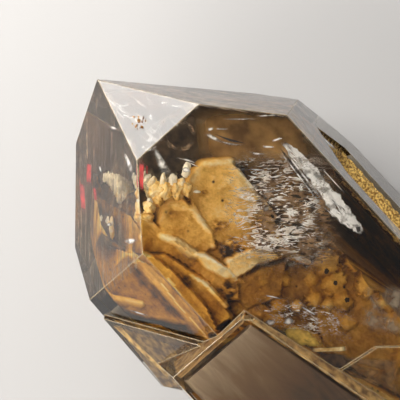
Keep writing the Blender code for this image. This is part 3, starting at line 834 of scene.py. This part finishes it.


# Each sheet: its corners in mm, its cuts, its two colours, roughness, streaks, contrast, bunching, thinness.
# The white sheets are painted reflections of the lamp; the brown sheet is a film of clay.
for name, corners, cuts, dark, light, roughness, streak, contrast, bunch, thin in (
    ("painted_glint_flakes", [(20.2, 4.9, 8.8), (30.4, 16.6, 8.8), (43.0, 4.6, 8.8), (32.6, -7.0, 8.8)], 20,
     (0.70, 0.62, 0.52), (1.0, 0.98, 0.95), 0.30,
     (7.0, 26.0, 2.2, 0.405, 0.03, 0.30, 1.3), (0.35, 0.65), 0.15, 0.0),
    ("painted_glint_outlines", [(19.8, 4.2, 9.0), (30.6, 16.4, 9.0), (42.9, 4.4, 9.0), (31.8, -7.6, 9.0)], 20,
     (0.62, 0.52, 0.42), (1.0, 1.0, 0.98), 0.30,
     (4.5, 15.0, 1.2, 0.09, 0.05, 0.26, 6.3), (0.35, 0.60), 0.10, 1.0),
    ("brown_flakes", [(21.2, 7.0, 7.4), (31.8, 18.7, 7.4), (45.5, 5.3, 7.4), (34.9, -6.0, 7.4)], 20,
     (0.10, 0.050, 0.022), (0.42, 0.26, 0.13), 0.55,
     (6.0, 26.0, 2.0, 0.60, 0.10, 0.28, 5.7), (0.35, 0.65), 0.10, 0.0),
    ("painted_small_glints", [(38.0, -4.9, 8.6), (48.0, 2.7, 8.6), (51.2, -0.5, 8.6), (41.6, -8.4, 8.6)], 12,
     (0.80, 0.72, 0.60), (1.0, 1.0, 0.98), 0.30,
     (12.0, 14.0, 2.4, 0.40, 0.03, 0.30, 8.2), (0.35, 0.65), 0.12, 0.0),
    ("painted_sparkle_outlines", [(36.5, -5.9, 8.8), (49.0, 3.7, 8.8), (53.2, -0.5, 8.8), (40.6, -9.4, 8.8)], 12,
     (0.60, 0.45, 0.30), (1.0, 0.96, 0.90), 0.30,
     (6.0, 9.0, 1.4, 0.07, 0.06, 0.30, 4.2), (0.35, 0.60), 0.08, 1.0),
):
    flakes = sheet_in_stone(name, corners, cuts)
    flakes.data.materials.append(
        veil_material(name + "_film", dark, light, roughness, streak, 0.20, contrast, bunch, thin)
    )


# Single slivers: open cracks and shards beside the point and along the silver veil, each a bright mirror or a
# black gap. They are breaks in the quartz itself and hold nothing, so their colour is painted light: a grey
# and white painted reflection in the bright ones and near black painted shade in the dark ones.
def slivers_in_stone(name, places, film):
    """Small sheets, each given by its four corners, joined in one piece with one finish."""
    slivers = join_pieces(name, [sheet_in_stone(name, corners, 2) for corners in places])
    slivers.data.materials.append(film)


slivers_in_stone(
    "bright_slivers",
    [
        [(17.0, 3.9, 8.7), (17.4, 4.8, 8.7), (20.5, 5.5, 8.7), (18.7, 4.4, 8.7)],
        [(18.5, 4.6, 8.7), (20.1, 5.6, 8.7), (22.4, 7.6, 8.7), (20.6, 5.3, 8.7)],
        [(17.4, 5.6, 8.9), (18.8, 7.1, 8.9), (19.0, 6.9, 8.9), (17.8, 5.6, 8.9)],
        [(16.7, 4.8, 8.9), (17.3, 5.7, 8.9), (17.6, 5.4, 8.9), (17.3, 4.6, 8.9)],
        [(17.2, 7.3, 9.2), (20.3, 10.9, 9.2), (20.5, 10.7, 9.2), (17.4, 7.1, 9.2)],
        [(20.0, 11.1, 9.2), (22.2, 13.9, 9.2), (22.4, 13.7, 9.2), (20.2, 10.9, 9.2)],
        [(13.7, -2.3, 8.3), (14.0, -2.0, 8.3), (18.4, -2.7, 8.3), (17.1, -4.4, 8.3)],
        [(18.3, -1.5, 8.0), (18.6, -0.7, 8.0), (19.8, -0.5, 8.0), (19.2, -1.7, 8.0)],
        [(16.5, -1.3, 8.2), (18.0, 0.2, 8.2), (19.8, 0.8, 8.2), (18.3, -0.1, 8.2)],
        [(17.9, -0.4, 8.2), (18.6, 0.0, 8.2), (20.3, 0.7, 8.2), (19.6, 0.2, 8.2)],
        [(6.5, -3.6, 1.6), (7.1, -3.3, 2.9), (8.8, -3.2, 5.7), (7.9, -3.8, 3.1)],
        [(11.2, -4.9, 5.7), (11.9, -4.8, 6.9), (14.8, -5.8, 9.2), (15.1, -6.8, 7.9)],
        [(9.4, -8.2, -2.4), (10.0, -8.1, -1.3), (10.9, -8.7, -1.1), (10.5, -8.8, -1.8)],
        [(20.5, -13.4, 4.1), (20.7, -12.5, 6.0), (21.9, -11.6, 9.4), (21.8, -13.0, 6.7)],
        [(17.0, -13.2, -1.7), (17.6, -12.3, 0.8), (18.3, -12.5, 1.3), (17.6, -13.3, -1.1)],
        [(28.6, 19.9, -0.6), (29.5, 22.6, -5.4), (34.0, 23.9, -7.7), (33.0, 21.9, -4.2)],
        [(23.0, 21.4, -3.3), (23.5, 22.4, -5.1), (25.3, 22.3, -4.8), (24.8, 21.3, -3.1)],
        [(31.1, 12.8, 9.4), (31.2, 13.0, 9.4), (36.6, 13.0, 9.4), (36.5, 12.8, 9.4)],
        [(23.9, 10.2, 8.9), (24.5, 11.8, 8.9), (25.0, 11.9, 8.9), (24.3, 10.2, 8.9)],
        [(25.0, 10.1, 9.1), (25.1, 10.4, 9.1), (35.2, 9.5, 9.1), (34.9, 9.2, 9.1)],
        [(25.4, 10.6, 9.1), (25.6, 11.0, 9.1), (35.2, 10.1, 9.1), (35.0, 9.7, 9.1)],
        [(35.3, 9.2, 9.1), (35.4, 9.5, 9.1), (38.7, 9.9, 9.1), (38.6, 9.6, 9.1)],
        [(27.9, 3.9, 9.1), (29.2, 6.0, 9.1), (30.6, 7.6, 9.1), (28.9, 4.9, 9.1)],
        [(26.8, 5.7, 9.1), (28.0, 7.4, 9.1), (28.8, 9.3, 9.1), (28.5, 7.3, 9.1)],
        [(27.0, 1.7, 9.1), (28.4, 3.0, 9.1), (29.6, 4.5, 9.1), (28.5, 2.7, 9.1)],
        [(22.8, 6.8, 9.1), (24.0, 7.7, 9.1), (25.2, 8.9, 9.1), (24.1, 7.2, 9.1)],
        [(25.5, 7.8, 9.1), (26.3, 8.8, 9.1), (26.3, 9.8, 9.1), (26.3, 8.2, 9.1)],
        [(25.1, 1.6, 9.1), (25.9, 2.5, 9.1), (27.0, 3.3, 9.1), (26.1, 2.3, 9.1)],
        [(24.4, 5.0, 9.1), (25.4, 6.0, 9.1), (26.8, 7.3, 9.1), (25.6, 5.8, 9.1)],
        [(34.2, 2.1, 9.1), (35.0, 2.5, 9.1), (36.3, 2.9, 9.1), (35.7, 2.3, 9.1)],
        [(23.5, 8.8, 9.1), (24.8, 10.1, 9.1), (25.2, 10.1, 9.1), (23.9, 8.6, 9.1)],
        [(29.7, 3.0, 9.1), (30.1, 3.8, 9.1), (30.8, 3.6, 9.1), (30.5, 2.6, 9.1)],
        [(40.8, -7.6, 9.0), (41.2, -6.5, 9.0), (42.4, -6.0, 9.0), (42.1, -7.3, 9.0)],
        [(42.6, -5.9, 9.0), (42.7, -4.4, 9.0), (44.2, -4.1, 9.0), (43.9, -5.4, 9.0)],
        [(38.2, -5.3, 9.0), (38.5, -4.7, 9.0), (41.2, -3.0, 9.0), (40.6, -3.6, 9.0)],
        [(42.6, -2.6, 9.0), (42.9, -2.2, 9.0), (45.9, -1.4, 9.0), (45.5, -1.9, 9.0)],
        [(39.6, -6.8, 9.0), (39.8, -6.3, 9.0), (40.9, -5.5, 9.0), (40.5, -6.0, 9.0)],
        [(28.3, -19.2, -2.2), (30.7, -17.5, 0.7), (30.9, -17.7, 0.4), (28.6, -19.4, -2.6)],
    ],
    # Grey and white painted reflection.
    veil_material(
        "bright_sliver_painted_reflection", (0.30, 0.28, 0.26), (1.0, 1.0, 1.0), 0.25,
        (2.0, 5.0, 1.0, 0.80, 0.12, 0.42, 2.9), 0.25, (0.42, 0.54),
    ),
)
slivers_in_stone(
    "dark_slivers",
    [
        [(17.7, 4.9, 8.9), (19.0, 5.6, 8.9), (22.3, 7.7, 8.9), (20.3, 5.9, 8.9)],
        [(21.2, 12.8, 9.0), (22.3, 13.8, 9.0), (22.5, 13.6, 9.0), (21.4, 12.6, 9.0)],
        [(25.3, 10.4, 9.0), (25.4, 10.7, 9.0), (35.0, 9.7, 9.0), (34.9, 9.4, 9.0)],
        [(40.7, 10.8, 9.1), (41.1, 11.4, 9.1), (41.7, 11.0, 9.1), (41.5, 10.4, 9.1)],
    ],
    # Near black painted shade.
    veil_material(
        "dark_sliver_painted_shade", (0.012, 0.010, 0.010), (0.05, 0.045, 0.045), 0.3,
        (1.5, 1.5, 0.8, 0.85, 0.10, 0.16, 2.9), 0.10,
    ),
)

# Smears: milky healed scratches in the quartz itself, a fraction of a millimetre under the front tip face.
# Tiny bubbles are left in them, so they are white and dull.
slivers_in_stone(
    "tip_smears",
    [
        [(7.0, -1.9, 4.8), (9.5, -0.1, 6.8), (9.9, -0.4, 7.1), (7.7, -2.1, 5.3)],
        [(9.6, 1.3, 6.8), (12.6, 0.3, 9.1), (13.0, -1.2, 9.4), (11.0, -1.4, 7.9)],
        [(12.3, -1.4, 8.9), (14.6, -0.7, 10.6), (14.4, -2.4, 10.5), (13.0, -5.2, 9.4)],
        [(4.5, -1.6, 2.9), (6.5, 0.4, 4.4), (7.2, 0.0, 4.9), (5.2, -1.9, 3.4)],
        [(9.5, 3.0, 6.7), (12.2, 5.4, 8.8), (12.8, 4.6, 9.2), (10.4, 2.4, 7.4)],
    ],
    veil_material(
        "tip_smear_film", (0.55, 0.53, 0.50), (1.0, 1.0, 1.0), 0.5,
        (3.0, 6.0, 1.0, 0.50, 0.25, 0.20, 5.2), 0.10,
    ),
)

# Iron films: blood-red iron oxide that seeped into fine cracks in the quartz and stayed there. Three lie
# under the left tip face and two beside its edge.
slivers_in_stone(
    "red_iron_films",
    [
        [(7.0, -8.7, -7.0), (8.3, -8.1, -4.7), (11.0, -11.0, -5.5), (9.9, -11.5, -7.7)],
        [(8.0, -11.5, -10.6), (9.4, -10.8, -8.2), (13.4, -14.6, -7.9), (12.2, -15.1, -10.1)],
        [(11.0, -10.7, -5.1), (11.8, -10.4, -3.8), (13.6, -12.2, -3.4), (12.9, -12.3, -4.6)],
        [(13.7, -4.9, 9.8), (14.4, -4.4, 10.2), (17.6, -7.6, 9.9), (16.8, -7.7, 9.4)],
        [(14.9, -4.7, 9.6), (15.2, -4.5, 9.6), (16.2, -5.5, 9.4), (15.8, -5.6, 9.4)],
    ],
    veil_material(
        "iron_red_film", (0.22, 0.002, 0.003), (0.55, 0.012, 0.012), 0.5,
        (2.0, 3.5, 2.6, 0.88, 0.10, 0.24, 6.6), 0.10,
    ),
)

# Healed bubble: a gap in the quartz that closed up behind the front tip face. Its uneven rim is all that is
# left of it, and shows as a brown ring against the sheet of painted shade.
bpy.ops.object.select_all(action="DESELECT")
bpy.ops.mesh.primitive_torus_add(
    location=inside(14.9, 1.9, 5.0), major_radius=1.9 * MM, minor_radius=0.28 * MM, major_segments=48,
    minor_segments=10,
)
ring = bpy.context.object
ring.name = "healed_ring"
bpy.ops.object.mode_set(mode="EDIT")
bpy.ops.mesh.select_all(action="SELECT")
bpy.ops.transform.vertex_random(offset=0.12 * MM, uniform=0.0, normal=0.5, seed=4)
bpy.ops.object.mode_set(mode="OBJECT")
bpy.ops.object.transform_apply(location=True, rotation=True, scale=True)
ring.data.materials.append(veil_material(
    "healed_ring_film", (0.15, 0.095, 0.055), (0.36, 0.25, 0.155), 0.5,
    (9.0, 2.0, 0.6, 0.56, 0.25, 0.001, 9.4), 0.05,
))
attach(ring, "root")

# Clouds: an almost black sheet behind the front tip face, painted shade that darkens what is seen through the
# quartz there, a golden-brown film of clay dust on an old growth face, a milky veil of tiny bubbles over the
# clay past the round lumps, and growth streaks under the left tip face. Each: its corners in mm, its cuts,
# its two colours, its streaks and how fine its mottling is.
for name, corners, cuts, dark, light, streak, mottle in (
    # An almost black sheet of painted shade.
    ("dark_painted_shade_sheet", [(8.4, -7.0, 2.5), (12.0, 14.0, 2.5), (24.5, 2.2, 2.5), (17.6, -9.4, 2.5)], 12,
     (0.012, 0.007, 0.004), (0.075, 0.045, 0.025), (3.0, 3.0, 0.6, 1.05, 0.35, 0.34, 9.4), 900.0),
    ("amber_cloud", [(11.6, 6.0, 2.4), (25.4, 20.8, 2.4), (35.0, 15.0, 3.4), (18.8, -0.6, 3.4)], 12,
     (0.17, 0.085, 0.022), (0.56, 0.33, 0.11), (3.0, 5.0, 0.8, 0.98, 0.35, 0.30, 7.7), 260.0),
    ("cloudy_patch", [(46.8, 5.5, 8.6), (51.3, 11.3, 8.6), (57.7, 4.9, 8.6), (51.1, 1.3, 8.6)], 12,
     (0.22, 0.16, 0.11), (0.42, 0.34, 0.25), (3.0, 3.0, 0.4, 0.62, 0.25, 0.25, 2.4), 900.0),
    ("tip_streaks", [(-3.1, -1.8, -9.8), (7.2, 1.3, 10.8), (27.5, -17.4, 7.2), (22.5, -25.6, -14.8)], 20,
     (0.060, 0.031, 0.014), (0.31, 0.21, 0.115), (42.0, 3.5, 0.5, 0.58, 0.35, 0.03, 4.4), 900.0),
):
    cloud = sheet_in_stone(name, corners, cuts)
    cloud.data.materials.append(veil_material(name + "_film", dark, light, 0.6, streak, 0.10, mottle=mottle))

# Films under the faces: smoke and gold streaks behind the raised left layer, gold in the rim of the small
# crystal and at the right edge, brown growth streaks under the right faces, a milky haze under the front tip
# face, and gold and brown beside the step of the front layer. All are smoke and dust that the quartz caught.
for name, corners, limits, dark, light, streak in (
    ("left_smoke", [(27.8, -21.9, -5.6), (39.2, -13.4, 9.3), (43.3, -20.2, -2.5), (36.4, -22.6, -7.0)],
     OUTER_FACES, (0.060, 0.030, 0.010), (0.19, 0.115, 0.045), (2.0, 5.0, 0.5, 1.05, 0.25, 0.06, 1.1)),
    ("left_low_gold", [(28.4, -22.6, -7.0), (36.3, -17.6, 2.3), (43.6, -21.0, -3.6), (42.2, -24.0, -8.6)],
     OUTER_FACES, (0.075, 0.036, 0.008), (0.34, 0.20, 0.055), (2.0, 6.0, 0.8, 1.00, 0.30, 0.05, 9.2)),
    ("left_gold_streaks", [(29.6, -21.3, -5.6), (39.2, -17.0, 0.9), (42.3, -18.9, -2.0), (36.0, -22.1, -6.5)],
     OUTER_FACES, (0.30, 0.16, 0.035), (0.80, 0.56, 0.20), (2.5, 7.0, 0.8, 0.66, 0.25, 0.14, 2.1)),
    ("left_gold_edge", [(28.3, -23.3, -7.0), (41.2, -22.5, -5.0), (40.2, -21.9, -4.0), (29.3, -22.4, -5.2)],
     (), (0.30, 0.15, 0.025), (0.85, 0.55, 0.14), (9.0, 3.0, 0.8, 0.80, 0.15, 0.10, 3.6)),
    ("small_crystal_gold_rim",
     [(38.6, -9.0, 12.7), (80.0, -0.3, 15.0), (80.0, 2.2, 12.8), (38.6, -8.4, 12.1)],
     (), (0.16, 0.075, 0.018), (0.62, 0.38, 0.12), (60.0, 2.0, 1.2, 0.80, 0.15, 0.02, 5.3)),
    ("small_crystal_gold_wall",
     [(38.4, -8.6, 12.2), (80.0, 2.1, 12.7), (80.0, 2.1, 10.9), (38.4, -8.6, 10.6)],
     (), (0.16, 0.075, 0.018), (0.62, 0.38, 0.12), (60.0, 2.0, 1.2, 0.85, 0.15, 0.02, 6.9)),
    ("small_crystal_shoulder",
     [(38.4, -9.3, 12.4), (38.4, -20.6, 9.7), (38.4, -20.6, 2.5), (38.4, -8.4, 10.4)],
     (), (0.17, 0.085, 0.022), (0.46, 0.28, 0.10), (5.0, 4.0, 0.8, 0.90, 0.20, 0.06, 4.8)),
    ("right_edge_gold", [(44.5, 13.8, 10.2), (80.0, 13.8, 10.2), (80.0, 16.6, 5.4), (43.0, 16.6, 5.4)],
     OUTER_FACES, (0.30, 0.15, 0.03), (0.95, 0.66, 0.18), (30.0, 3.0, 0.8, 0.66, 0.20, 0.04, 6.1)),
    ("right_tip_streaks", [(-2.2, -8.8, 11.1), (27.2, 10.6, 22.3), (27.2, 27.6, -7.1), (-2.2, 8.2, -18.4)],
     OUTER_FACES, (0.040, 0.022, 0.012), (0.30, 0.20, 0.12), (3.0, 44.0, 0.6, 0.66, 0.30, 0.03, 3.3)),
    ("right_streaks", [(21.0, 13.8, 10.3), (28.0, 13.8, 10.3), (28.0, 25.8, -10.5), (21.0, 25.8, -10.5)],
     OUTER_FACES, (0.040, 0.022, 0.012), (0.26, 0.18, 0.11), (3.0, 22.0, 0.6, 0.66, 0.30, 0.02, 7.3)),
    ("right_edge_streaks", [(28.0, 13.8, 10.3), (45.0, 13.8, 10.3), (43.0, 16.4, 5.7), (28.0, 16.4, 5.7)],
     OUTER_FACES, (0.040, 0.022, 0.012), (0.26, 0.18, 0.11), (3.0, 12.0, 0.6, 0.66, 0.30, 0.02, 1.3)),
    ("front_tip_haze", [(-0.5, -7.0, -0.95), (-0.5, 9.0, -0.95), (16.1, 9.0, 11.86), (16.1, -7.0, 11.86)],
     OUTER_FACES, (0.50, 0.45, 0.40), (0.95, 0.91, 0.86), (30.0, 4.0, 0.8, 0.46, 0.45, 0.02, 2.7)),
    ("gold_strip", [(42.3, -6.6, 9.6), (45.6, -3.4, 9.6), (50.4, -3.2, 9.6), (45.6, -7.6, 9.6)],
     (), (0.36, 0.20, 0.02), (0.85, 0.58, 0.10), (3.0, 3.0, 0.8, 0.90, 0.35, 0.34, 4.9)),
    ("front_gold_line", [(47.5, -5.5, 10.50), (51.1, -1.5, 10.50), (51.6, -2.0, 10.50), (48.0, -5.8, 10.50)],
     OUTER_FACES, (0.55, 0.32, 0.08), (1.0, 0.82, 0.42), (6.0, 1.0, 0.5, 0.95, 0.25, 0.20, 4.1)),
    ("front_dark_wedge", [(47.7, -5.9, 10.40), (51.5, -2.0, 10.40), (54.5, -3.3, 10.40), (51.4, -5.3, 10.40)],
     OUTER_FACES, (0.035, 0.016, 0.006), (0.13, 0.065, 0.025), (2.0, 2.0, 0.8, 1.05, 0.35, 0.24, 8.8)),
    ("front_low_brown", [(49.0, -5.2, 10.30), (57.5, 2.7, 10.30), (61.4, -1.3, 10.30), (53.3, -4.4, 10.30)],
     OUTER_FACES, (0.060, 0.026, 0.007), (0.34, 0.18, 0.055), (3.0, 4.0, 0.8, 0.80, 0.40, 0.16, 5.4)),
):
    film = sheet_in_stone(name, corners, 24, limits)
    film.data.materials.append(veil_material(name + "_film", dark, light, 0.55, streak, 0.15))

# Window crust: golden, sandy clay that settled on the steps of the window in the right face and coats them.
# It is a rough layer a fraction of a millimetre thick, which follows each step down.
CRUST_THICK = 0.22
CRUST_MARGIN = 0.10
STEP_WALL = 0.4
direction, slope, away, start, end, middle, half = RIGHT_WINDOW
window_out = facing(direction, slope)
window_side = window_out.cross(AWAY_FROM_TIP)
bpy.ops.object.select_all(action="DESELECT")
bpy.ops.mesh.primitive_grid_add(x_subdivisions=190, y_subdivisions=70, size=1.0)
window_crust = bpy.context.object
window_crust.name = "window_crust"
off_window = []
for vertex in window_crust.data.vertices:
    along = start + (end - start) * (vertex.co.x + 0.5)
    aside = middle + 2.0 * half * vertex.co.y
    off_middle = abs(aside - middle)
    depth = 0.0
    for level in range(WINDOW_STEPS):
        room = min(
            along - start - STEP_INSET * level - WINDOW_LEAN * off_middle,
            end - STEP_INSET * level - along - WINDOW_LEAN * off_middle,
            half - STEP_INSET * level - off_middle,
        )
        if level == 0:
            off_window.append(room < 0.05)
        depth += STEP_DEPTH * min(max(room / STEP_WALL, 0.0), 1.0)
    spot = window_side * aside + AWAY_FROM_TIP * along
    grains = 0.24 * noise.fractal(spot * 0.9, 0.9, 2.0, 5) + 0.14 * noise.fractal(spot * 2.6, 0.9, 2.0, 3)
    out = min(away + CRUST_THICK - depth + grains, away - CRUST_MARGIN)
    vertex.co = TIP + (spot + window_out * out) * MM
bpy.ops.object.mode_set(mode="EDIT")
bpy.ops.mesh.select_mode(type="VERT")
bpy.ops.mesh.select_all(action="DESELECT")
bpy.ops.object.mode_set(mode="OBJECT")
for vertex, bare in zip(window_crust.data.vertices, off_window):
    vertex.select = bare
bpy.ops.object.mode_set(mode="EDIT")
bpy.ops.mesh.delete(type="VERT")
bpy.ops.object.mode_set(mode="OBJECT")
bpy.ops.object.shade_smooth()
window_crust.data.materials.append(veil_material(
    "golden_crust", (0.26, 0.12, 0.02), (0.95, 0.66, 0.20), 0.45,
    (2.0, 2.0, 0.6, 1.40, 0.30, 0.001, 7.7), 0.15, (0.40, 0.60), mottle=2400.0,
))
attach(window_crust, "root")

# Cloud in the small crystal: its heart is quartz that clay dust has made milky brown. A clear rim stays along
# its edges, where gold clay shows.
bud_cloud = cut_stone(
    "bud_cloud",
    [
        (-14, 90.0, 13.9),
        (-84, 89.6, 20.4),
        (40.7, 79.9, -3.8),
        (88, 75.4, -18.3),
        (53.1, 48.7, -25.9),
        (166, 90.0, -11.6),
    ],
    [
        (inside(39.6, 0.0, 0.0), Vector((-1.0, 0.02, 0.0)).normalized()),
        (inside(80.0, 0.0, 0.0), AWAY_FROM_TIP),
    ],
)
cloudy = bpy.data.materials.new("bud_cloud_brown")
cloudy.use_nodes = True
tree = cloudy.node_tree
where = add_node(tree, "TexCoord").outputs["Object"]
turned = add_node(tree, "Mapping", {
    "Vector": where, "Rotation": (0.0, 0.0, radians(-47.0)), "Scale": (60.0, 330.0, 200.0),
})
wisps = add_node(tree, "TexNoise", {
    "Vector": turned.outputs["Vector"], "Scale": 1.0, "Detail": 6.0, "Roughness": 0.62, "Distortion": 0.8,
})
deepen = add_node(tree, "MapRange", {
    "Value": add_node(tree, "SeparateXYZ", {"Vector": where}).outputs["X"],
    "From Min": TIP.x + 38.0 * MM, "From Max": TIP.x + 50.0 * MM, "To Min": 0.36, "To Max": -0.34,
})
brown = colour_ramp(
    tree, calculate(tree, "ADD", wisps.outputs["Fac"], deepen.outputs["Result"]),
    (
        (0.00, (0.030, 0.014, 0.005)),
        (0.25, (0.095, 0.045, 0.015)),
        (0.50, (0.150, 0.084, 0.034)),
        (0.75, (0.265, 0.185, 0.110)),
        (1.00, (0.540, 0.400, 0.230)),
    ),
)
set_inputs(tree, tree.nodes["Principled BSDF"], {"Base Color": brown, "Roughness": 0.6})
bud_cloud.data.materials.clear()
bud_cloud.data.materials.append(cloudy)
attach(bud_cloud, "root")

# Floor: a plain, pale and dull studio surface that the crystal lies on. It is a hair below the crystal's
# lowest point, so that the two don't share a plane.
bpy.ops.object.select_all(action="DESELECT")
bpy.ops.mesh.primitive_plane_add(size=3.0, location=(0.0, 0.0, -0.0003))
floor = bpy.context.object
floor.name = "studio_floor"
pale_floor = bpy.data.materials.new("pale_floor")
pale_floor.use_nodes = True
tree = pale_floor.node_tree
set_inputs(tree, tree.nodes["Principled BSDF"], {"Base Color": (0.40, 0.40, 0.405, 1.0), "Roughness": 0.85})
floor.data.materials.append(pale_floor)

# Studio light: a soft sky, a softbox low beyond the point that shines in the front tip face, and two more at
# the left, one high and one low. Each softbox: its place, what it aims at, width, height, watts and colour.
world = bpy.data.worlds.new("studio")
bpy.context.scene.world = world
world.use_nodes = True
tree = world.node_tree
set_inputs(tree, tree.nodes["Background"], {"Color": (1.0, 0.97, 0.93, 1.0), "Strength": 0.24})
for name, place, aim, width, height, watts, colour in (
    ("point_softbox", (-0.283, 0.0395, 0.063), (-0.039, -0.006, 0.036), 0.24, 0.20, 1.60, (1.0, 0.965, 0.93)),
    ("left_softbox", (-0.42, -0.22, 0.42), (0.0, 0.0, 0.02), 0.40, 0.30, 5.5, (1.0, 0.96, 0.90)),
    ("low_softbox", (0.05, -0.55, 0.30), (0.0, 0.0, 0.02), 0.45, 0.30, 3.0, (1.0, 0.95, 0.88)),
):
    bpy.ops.object.select_all(action="DESELECT")
    bpy.ops.object.light_add(type="AREA", location=place)
    lamp = bpy.context.object
    lamp.name = name
    lamp.rotation_euler = (Vector(place) - Vector(aim)).to_track_quat("Z", "Y").to_euler()
    lamp.data.shape = "RECTANGLE"
    lamp.data.size = width
    lamp.data.size_y = height
    lamp.data.energy = watts
    lamp.data.color = colour
    lamp.visible_camera = False

# Camera: close above the crystal near its point, looking almost straight down. The frame cuts off the
# crystal's foot and the outer half of the small crystal.
bpy.ops.object.select_all(action="DESELECT")
bpy.ops.object.camera_add()
camera = bpy.context.object
camera.name = "close_camera"
camera.matrix_world = Matrix((
    (0.67949, -0.73272, -0.03764, -0.027708),
    (0.71988, 0.67573, -0.15859, -0.020297),
    (0.14164, 0.08066, 0.98663, 0.112932),
    (0.0, 0.0, 0.0, 1.0),
))
camera.data.lens = 50.0
camera.data.sensor_width = 36.0
camera.data.clip_start = 0.005
camera.data.clip_end = 10.0
bpy.context.scene.camera = camera
bpy.context.scene.view_settings.view_transform = "Standard"
